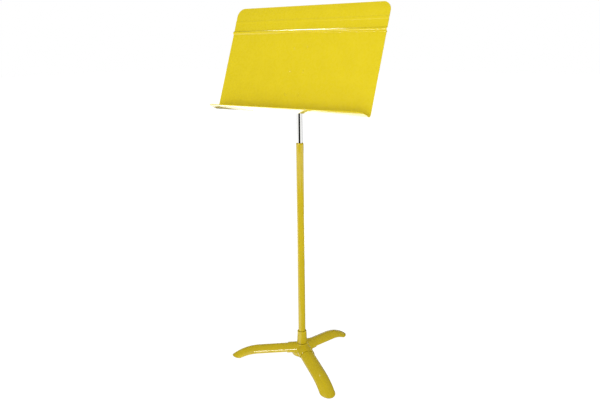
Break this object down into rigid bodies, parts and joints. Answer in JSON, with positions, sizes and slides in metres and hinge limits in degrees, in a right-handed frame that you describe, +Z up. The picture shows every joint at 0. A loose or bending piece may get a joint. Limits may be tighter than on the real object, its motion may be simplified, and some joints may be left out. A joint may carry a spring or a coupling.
{
  "type": "music stand",
  "caption": "Orchestral music stand: folded sheet desk with a shelf on a tilting, turning, telescoping column and pressed bowed legs.",
  "frame": {"origin": "on the floor, under the column's axis", "axes": "+Z up along the column; the front of the desk faces -Y; +X to the right of a reader who faces the desk"},
  "size_m": [0.508, 0.3764, 1.093],
  "materials": {
    "paint_desk": "glossy yellow powder coat on aluminium sheet",
    "paint_base": "glossy yellow enamel on steel",
    "paint_bracket": "glossy yellow enamel on steel",
    "paint_rivet": "painted aluminium rivet",
    "chrome": "bright chrome plate",
    "zinc": "zinc plated",
    "spring_steel": "oiled spring steel",
    "nylon": "natural nylon",
    "fibre": "vulcanised fibre",
    "rubber": "matt rubber"
  },
  "bodies": {
    "base": {"hub": "paint_base", "leg_left": "paint_base", "leg_right": "paint_base", "leg_back": "paint_base", "foot_pad_left": "rubber", "foot_pad_right": "rubber", "foot_pad_back": "rubber", "outer_tube": "paint_base", "collar": "paint_base", "tube_plug": "zinc", "base_washer": "zinc", "base_bolt": "zinc", "clutch_cap": "paint_base", "top_bushing": "nylon", "clutch_fingers": "spring_steel", "clutch_spring": "spring_steel", "clutch_retainer": "spring_steel"},
    "slider": {"guide_bush": "nylon"},
    "mast": {"rod_end_plug": "nylon", "rod_snap_ring": "spring_steel", "inner_tube": "chrome", "cross_tube": "chrome", "pivot_bushes": "nylon"},
    "desk": {"desk_panel": "paint_desk", "desk_bracket": "paint_bracket", "desk_rivets": "paint_rivet", "pivot_bolt": "zinc", "pivot_nut": "zinc", "friction_washers": "fibre", "disc_springs": "spring_steel"}
  },
  "joints": [
    {"name": "height", "type": "slide", "parent": "base", "child": "slider", "axis": [0, 0, 1], "range_m": [-0.15, 0.4]},
    {"name": "swivel", "type": "hinge", "parent": "slider", "child": "mast", "pos_m": [0, 0, 0.8932], "axis": [0, 0, 1], "continuous": true},
    {"name": "tilt", "type": "hinge", "parent": "mast", "child": "desk", "pos_m": [0, 0, 0.8932], "axis": [-1, 0, 0], "range_deg": [-24, 68]}
  ]
}
